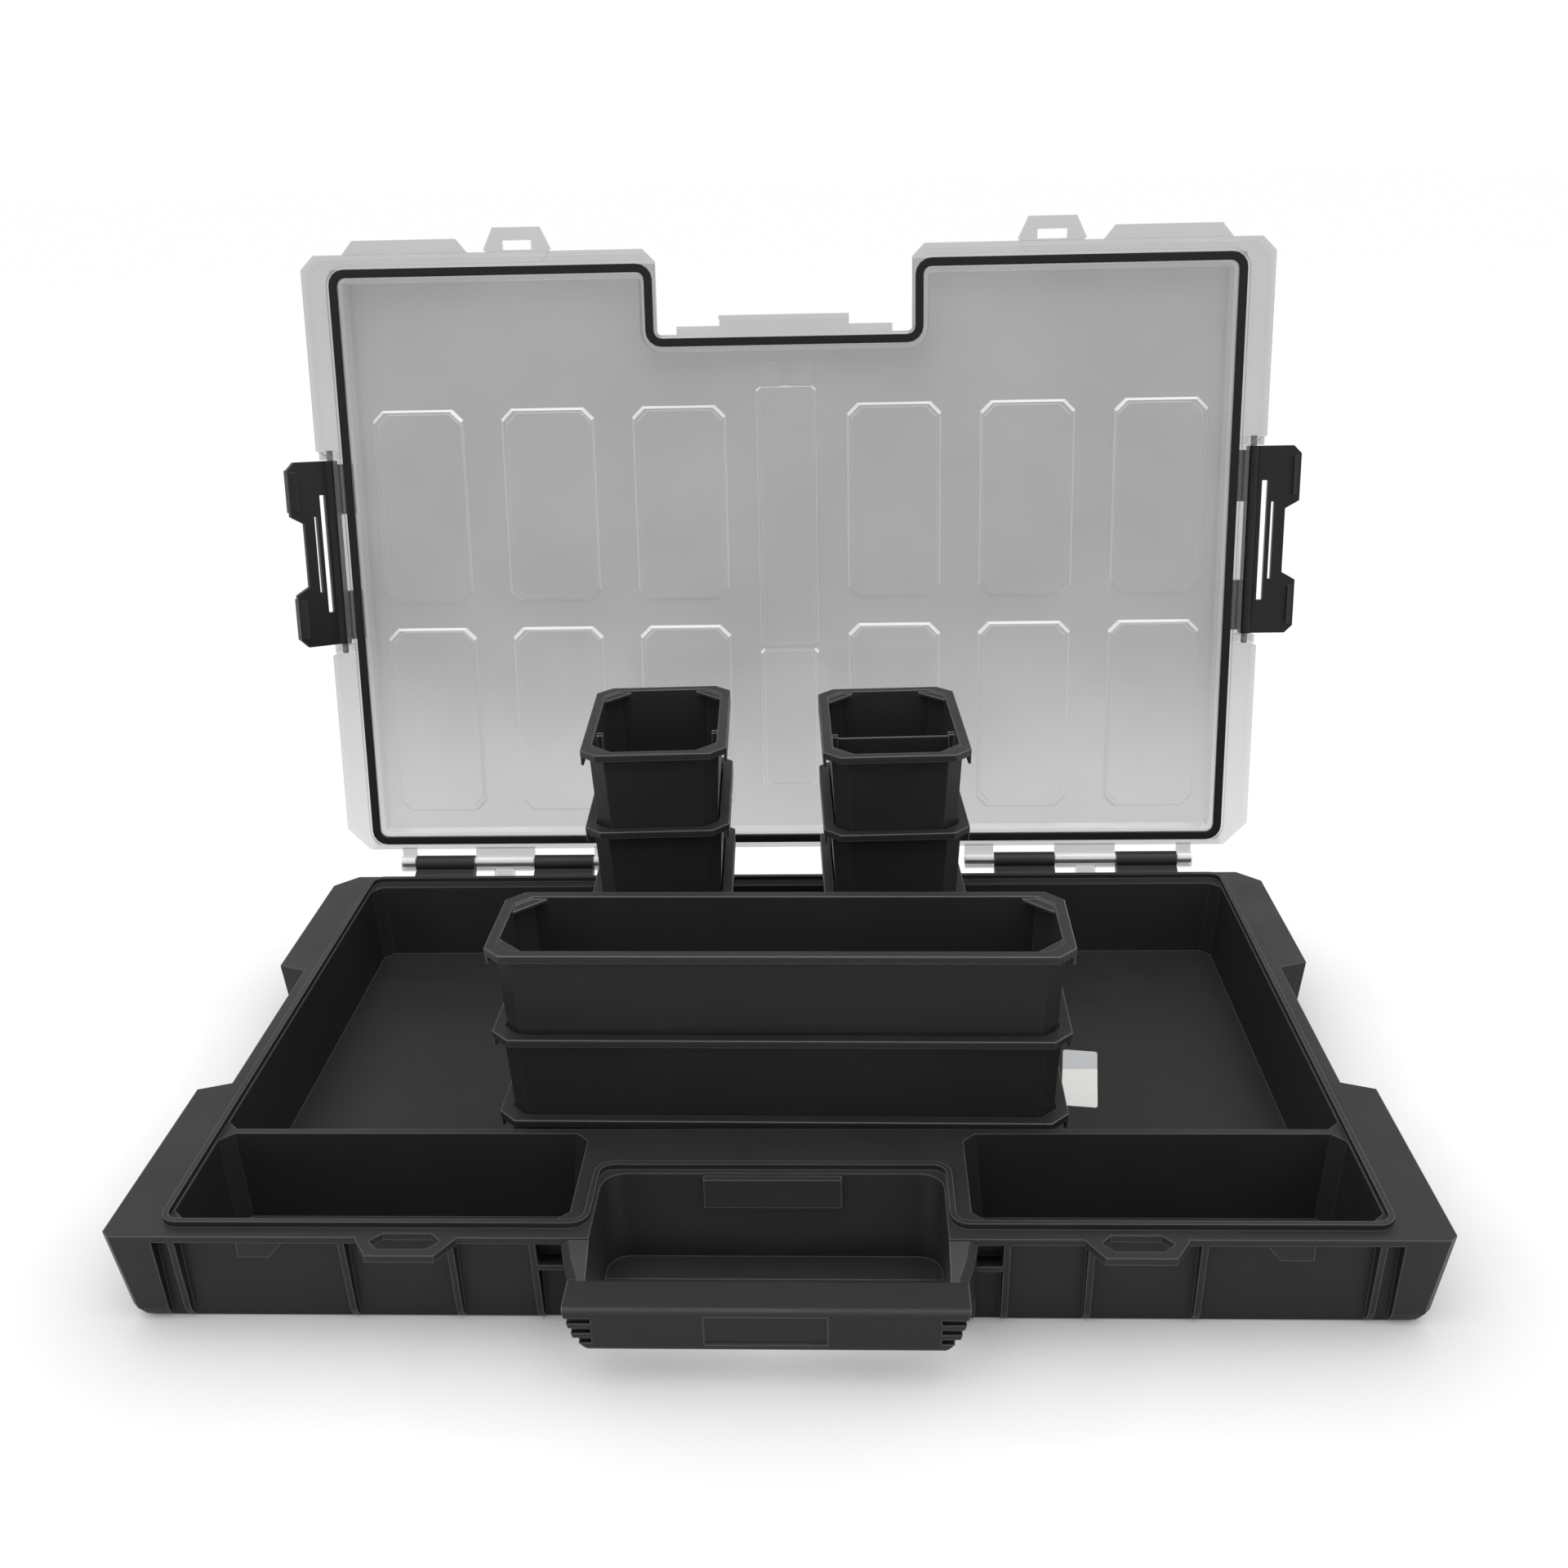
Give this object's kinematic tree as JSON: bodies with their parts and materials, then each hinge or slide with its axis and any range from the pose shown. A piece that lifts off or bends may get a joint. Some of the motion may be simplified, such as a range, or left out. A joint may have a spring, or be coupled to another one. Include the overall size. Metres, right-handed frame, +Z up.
{
  "type": "compartment organizer",
  "caption": "Low lidded compartment organizer: black moulded tray with carry handle and front bays, clear hinged lid with seal and side latches, stackable lift-out bins",
  "frame": {"origin": "centre of the tray's underside, on the surface it stands on", "axes": "+X to the right seen from the handle side, +Y from the handle to the hinge, +Z up"},
  "size_m": [0.5275, 0.406, 0.3779],
  "materials": {
    "tray_plastic": "moulded, fine texture",
    "lid_plastic": "clear smoke grey, polished",
    "seal_rubber": "soft, matt",
    "pin_steel": "drawn",
    "latch_plastic": "moulded, satin",
    "bin_plastic": "moulded, fine texture",
    "label_paper": "uncoated"
  },
  "bodies": {
    "base": {"base_tray": "tray_plastic", "hinge_pin_left": "pin_steel", "hinge_pin_right": "pin_steel", "floor_label": "label_paper"},
    "lid": {"lid_panel": "lid_plastic", "lid_seal": "seal_rubber", "latch_pin_left": "pin_steel", "latch_pin_right": "pin_steel"},
    "left_latch": {"latch_left": "latch_plastic"},
    "right_latch": {"latch_right": "latch_plastic"},
    "divider": {"bin_divider": "bin_plastic"},
    "body_small_bin_left_1": {"small_bin_left_1": "bin_plastic"},
    "body_small_bin_left_2": {"small_bin_left_2": "bin_plastic"},
    "body_small_bin_left_3": {"small_bin_left_3": "bin_plastic"},
    "body_small_bin_left_4": {"small_bin_left_4": "bin_plastic"},
    "body_small_bin_right_1": {"small_bin_right_1": "bin_plastic"},
    "body_small_bin_right_2": {"small_bin_right_2": "bin_plastic"},
    "body_small_bin_right_3": {"small_bin_right_3": "bin_plastic"},
    "body_small_bin_right_4": {"small_bin_right_4": "bin_plastic"},
    "body_long_bin_1": {"long_bin_1": "bin_plastic"},
    "body_long_bin_2": {"long_bin_2": "bin_plastic"},
    "body_long_bin_3": {"long_bin_3": "bin_plastic"}
  },
  "joints": [
    {"name": "lid_hinge", "type": "hinge", "parent": "base", "child": "lid", "pos_m": [0, 0.164, 0.047], "axis": [-1, 0, 0], "range_deg": [-24, 0]},
    {"name": "latch_right_pivot", "type": "hinge", "parent": "lid", "child": "right_latch", "pos_m": [0.241, 0.1944, 0.21589], "axis": [0, -0.1426, -0.9898], "range_deg": [0, 90]},
    {"name": "latch_left_pivot", "type": "hinge", "parent": "lid", "child": "left_latch", "pos_m": [-0.241, 0.1944, 0.21589], "axis": [0, 0.1426, 0.9898], "range_deg": [-40, 50]},
    {"name": "divider_lift", "type": "slide", "parent": "body_small_bin_right_4", "child": "divider", "axis": [0, 0, 1], "range_m": [0, 0.045]},
    {"name": "small_bin_left_1_lift", "type": "slide", "parent": "base", "child": "body_small_bin_left_1", "axis": [0, 0, 1], "range_m": [0, 0.1]},
    {"name": "small_bin_left_2_lift", "type": "slide", "parent": "body_small_bin_left_1", "child": "body_small_bin_left_2", "axis": [0, 0, 1], "range_m": [0, 0.06]},
    {"name": "small_bin_left_3_lift", "type": "slide", "parent": "body_small_bin_left_2", "child": "body_small_bin_left_3", "axis": [0, 0, 1], "range_m": [0, 0.06]},
    {"name": "small_bin_left_4_lift", "type": "slide", "parent": "body_small_bin_left_3", "child": "body_small_bin_left_4", "axis": [0, 0, 1], "range_m": [0, 0.06]},
    {"name": "small_bin_right_1_lift", "type": "slide", "parent": "base", "child": "body_small_bin_right_1", "axis": [0, 0, 1], "range_m": [0, 0.1]},
    {"name": "small_bin_right_2_lift", "type": "slide", "parent": "body_small_bin_right_1", "child": "body_small_bin_right_2", "axis": [0, 0, 1], "range_m": [0, 0.06]},
    {"name": "small_bin_right_3_lift", "type": "slide", "parent": "body_small_bin_right_2", "child": "body_small_bin_right_3", "axis": [0, 0, 1], "range_m": [0, 0.06]},
    {"name": "small_bin_right_4_lift", "type": "slide", "parent": "body_small_bin_right_3", "child": "body_small_bin_right_4", "axis": [0, 0, 1], "range_m": [0, 0.06]},
    {"name": "long_bin_1_lift", "type": "slide", "parent": "base", "child": "body_long_bin_1", "axis": [0, 0, 1], "range_m": [0, 0.1]},
    {"name": "long_bin_2_lift", "type": "slide", "parent": "body_long_bin_1", "child": "body_long_bin_2", "axis": [0, 0, 1], "range_m": [0, 0.06]},
    {"name": "long_bin_3_lift", "type": "slide", "parent": "body_long_bin_2", "child": "body_long_bin_3", "axis": [0, 0, 1], "range_m": [0, 0.06]}
  ]
}
